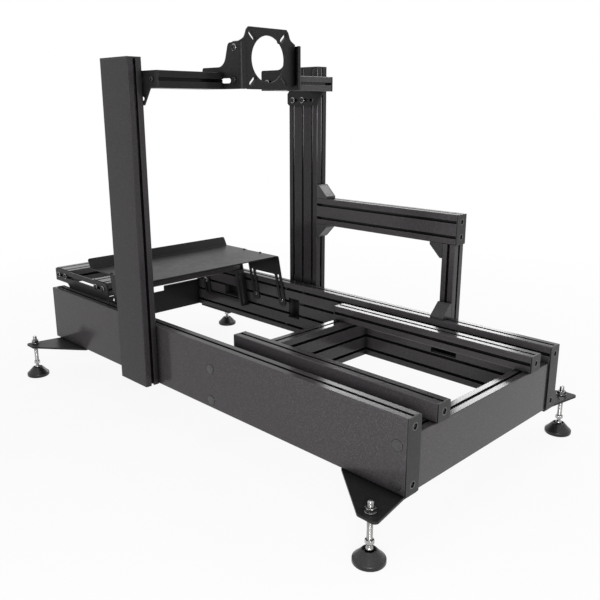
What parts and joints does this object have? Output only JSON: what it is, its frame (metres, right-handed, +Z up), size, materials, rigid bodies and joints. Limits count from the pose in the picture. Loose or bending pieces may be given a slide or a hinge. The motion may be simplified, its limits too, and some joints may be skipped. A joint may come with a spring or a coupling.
{
  "type": "sim racing cockpit",
  "caption": "Open sim racing cockpit of T-slot aluminium bars with seat rails, wheel-motor mount, pedal deck, heel tray, shifter arm and levelling feet.",
  "frame": {"origin": "on the floor under the middle of the cockpit's outline", "axes": "+Z up, +X to the driver's right, +Y from the seat end to the pedal end, along the longest extent"},
  "size_m": [0.8282, 1.4412, 1.001],
  "materials": {
    "anodised_bar": "satin dark anodised",
    "black_steel": "fine-textured black powder coat",
    "cast_bracket": "black powder coat on die-cast aluminium",
    "zinc_steel": "bright zinc plate",
    "pad_rubber": "satin moulded nylon",
    "black_plastic": "moulded, fine grain"
  },
  "bodies": {
    "root": {"bolt_plugs": "black_plastic", "front_deck_beam": "anodised_bar", "front_left_foot_bracket": "black_steel", "front_left_foot_pad": "pad_rubber", "front_left_foot_stud": "zinc_steel", "front_panel": "black_steel", "front_right_foot_bracket": "black_steel", "front_right_foot_pad": "pad_rubber", "front_right_foot_stud": "zinc_steel", "heel_tray": "black_steel", "left_crossbar": "anodised_bar", "left_crossbar_bracket": "black_steel", "left_deck_side_plate": "black_steel", "left_seat_rail": "anodised_bar", "left_side_profile": "anodised_bar", "left_upright": "anodised_bar", "left_wheel_side_bracket": "black_steel", "lower_arm_gusset": "cast_bracket", "middle_crossmember": "anodised_bar", "post_foot_gusset": "cast_bracket", "post_top_gusset": "cast_bracket", "rear_crossmember": "anodised_bar", "rear_deck_beam": "anodised_bar", "rear_left_foot_bracket": "black_steel", "rear_left_foot_pad": "pad_rubber", "rear_left_foot_stud": "zinc_steel", "rear_right_foot_bracket": "black_steel", "rear_right_foot_pad": "pad_rubber", "rear_right_foot_stud": "zinc_steel", "right_crossbar": "anodised_bar", "right_crossbar_bracket": "black_steel", "right_deck_side_plate": "black_steel", "right_seat_rail": "anodised_bar", "right_side_profile": "anodised_bar", "right_upright": "anodised_bar", "right_wheel_side_bracket": "black_steel", "seat_rail_end_caps": "black_plastic", "shifter_arm": "anodised_bar", "shifter_arm_end_cap": "black_plastic", "shifter_post": "anodised_bar", "side_profile_end_caps": "black_plastic", "upper_arm_gusset": "cast_bracket", "upright_end_caps": "black_plastic", "wheel_mount_plate": "black_steel"}
  },
  "joints": []
}
